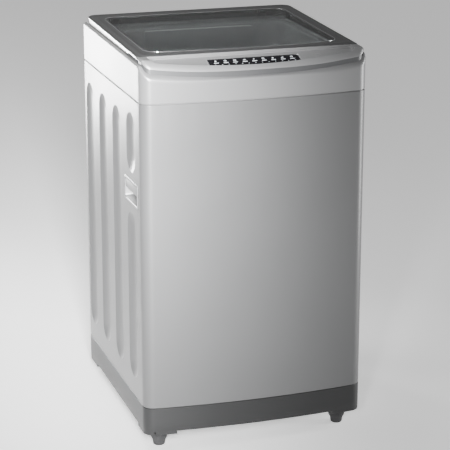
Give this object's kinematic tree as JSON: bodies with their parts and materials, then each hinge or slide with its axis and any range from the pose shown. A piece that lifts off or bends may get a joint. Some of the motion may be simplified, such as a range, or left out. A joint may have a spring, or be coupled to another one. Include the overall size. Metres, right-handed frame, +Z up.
{
  "type": "top load washing machine",
  "caption": "Top-load washing machine with a bowed front, glazed lid, sloping console, hung tub, belt-driven drum and pulsator.",
  "frame": {"origin": "middle of the bounding box, at floor level under the feet", "axes": "+Z up, the front with the console faces -Y, +X to the right of someone who stands in front"},
  "size_m": [0.553, 0.58, 0.963],
  "materials": {
    "cabinet_paint": "satin",
    "silver_plastic": "satin",
    "dark_silver": "satin",
    "charcoal_plastic": "matte",
    "black_gloss": "gloss",
    "grey_tub": "satin",
    "white_plastic": "satin",
    "filter_blue": "satin",
    "zinc_steel": "satin",
    "stainless": "satin",
    "cast_alloy": "matte",
    "black_rubber": "matte",
    "board_green": "satin",
    "lid_glass": "gloss",
    "motor_steel": "satin"
  },
  "bodies": {
    "cabinet": {"cabinet": "cabinet_paint", "rear_panel": "zinc_steel", "base_frame": "charcoal_plastic", "handle_left": "silver_plastic", "handle_right": "silver_plastic", "corner_brackets": "zinc_steel", "suspension_rods": "zinc_steel", "rear_feet": "black_rubber", "foot_nuts": "zinc_steel", "top_cover": "silver_plastic", "console_base": "charcoal_plastic", "console_panel": "silver_plastic", "display_window": "black_gloss", "control_board": "board_green", "detergent_box": "white_plastic", "inlet_valve": "white_plastic", "inlet_hose": "black_rubber", "level_sensor": "white_plastic", "cable_loom": "charcoal_plastic", "cord_gland": "charcoal_plastic", "drain_spout": "charcoal_plastic", "rear_screws": "zinc_steel", "lid_hinge_pins": "zinc_steel", "wash_funnel": "silver_plastic"},
    "front_foot_left": {"front_foot_left": "black_rubber"},
    "front_foot_right": {"front_foot_right": "black_rubber"},
    "lid": {"lid_frame": "dark_silver", "lid_glass": "lid_glass", "lid_buffers": "black_rubber"},
    "detergent_drawer": {"detergent_drawer": "silver_plastic"},
    "start_button": {"start_button": "silver_plastic"},
    "power_button": {"power_button": "silver_plastic"},
    "tub": {"outer_tub": "grey_tub", "tub_cover": "grey_tub", "tub_seal": "black_rubber", "damper_cups": "charcoal_plastic", "suspension_springs": "zinc_steel", "mount_plate": "zinc_steel", "gearbox": "cast_alloy", "bearings": "zinc_steel", "drive_bolts": "zinc_steel", "motor": "motor_steel", "drive_belt": "black_rubber", "drain_valve": "white_plastic", "drain_motor": "white_plastic", "drain_hose": "black_rubber", "pressure_hose": "black_rubber"},
    "pull_rod": {"pull_rod": "zinc_steel"},
    "brake_lever": {"brake_lever": "zinc_steel"},
    "motor_pulley": {"motor_pulley": "cast_alloy"},
    "drive_pulley": {"drive_pulley": "cast_alloy"},
    "drum": {"spin_shaft": "zinc_steel", "drum_hub": "cast_alloy", "drum_shell": "stainless", "balance_ring": "grey_tub", "water_ducts": "grey_tub"},
    "lint_filter_left": {"lint_filter_left": "filter_blue"},
    "lint_filter_right": {"lint_filter_right": "filter_blue"},
    "pulsator": {"pulsator": "grey_tub", "pulsator_shaft": "zinc_steel"}
  },
  "joints": [
    {"name": "tub_bounce", "type": "slide", "parent": "cabinet", "child": "tub", "axis": [0, 0, 1], "range_m": [-0.02, 0.015], "stiffness_N_per_m": 11000, "springref_m": 0.03046, "deforming": ["suspension_springs", "drain_hose", "pressure_hose"]},
    {"name": "drum_spin", "type": "hinge", "parent": "tub", "child": "drum", "pos_m": [0, 0.006, 0.5], "axis": [0, 0, 1], "continuous": true},
    {"name": "pulsator_spin", "type": "hinge", "parent": "drum", "child": "pulsator", "pos_m": [0, 0.006, 0.35], "axis": [0, 0, 1], "continuous": true},
    {"name": "drive_pulley_spin", "type": "hinge", "parent": "tub", "child": "drive_pulley", "pos_m": [0, 0.006, 0.16], "axis": [0, 0, 1], "continuous": true},
    {"name": "motor_pulley_spin", "type": "hinge", "parent": "tub", "child": "motor_pulley", "pos_m": [0, -0.144, 0.16], "axis": [0, 0, 1], "continuous": true},
    {"name": "lid_hinge", "type": "hinge", "parent": "cabinet", "child": "lid", "pos_m": [0, 0.26, 0.947], "axis": [-1, 0, 0], "range_deg": [0, 95]},
    {"name": "drawer_slide", "type": "slide", "parent": "cabinet", "child": "detergent_drawer", "axis": [0, -1, 0], "range_m": [0, 0.055]},
    {"name": "start_button_press", "type": "slide", "parent": "cabinet", "child": "start_button", "axis": [0, 0.2924, -0.9563], "range_m": [0, 0.0012], "stiffness_N_per_m": 800},
    {"name": "power_button_press", "type": "slide", "parent": "cabinet", "child": "power_button", "axis": [0, 0.2924, -0.9563], "range_m": [0, 0.0012], "stiffness_N_per_m": 800},
    {"name": "front_foot_left_level", "type": "slide", "parent": "cabinet", "child": "front_foot_left", "axis": [0, 0, -1], "range_m": [0, 0.012]},
    {"name": "front_foot_right_level", "type": "slide", "parent": "cabinet", "child": "front_foot_right", "axis": [0, 0, -1], "range_m": [0, 0.012]},
    {"name": "pull_rod_slide", "type": "slide", "parent": "tub", "child": "pull_rod", "axis": [1, 0, 0], "range_m": [0, 0.012]},
    {"name": "brake_lever_turn", "type": "hinge", "parent": "tub", "child": "brake_lever", "pos_m": [0, 0.078, 0.256], "axis": [0, 0, -1], "range_deg": [0, 17.5]},
    {"name": "lint_filter_left_tilt", "type": "hinge", "parent": "drum", "child": "lint_filter_left", "pos_m": [-0.2005, 0.006, 0.44], "axis": [0, 1, 0], "range_deg": [0, 20]},
    {"name": "lint_filter_right_tilt", "type": "hinge", "parent": "drum", "child": "lint_filter_right", "pos_m": [0.2005, 0.006, 0.44], "axis": [0, -1, 0], "range_deg": [0, 20]}
  ],
  "couplings": [
    {"joint": "drive_pulley_spin", "follows": "pulsator_spin", "ratio": 5.2},
    {"joint": "motor_pulley_spin", "follows": "pulsator_spin", "ratio": 10.029},
    {"joint": "brake_lever_turn", "follows": "pull_rod_slide", "rad_per_m": 25}
  ]
}
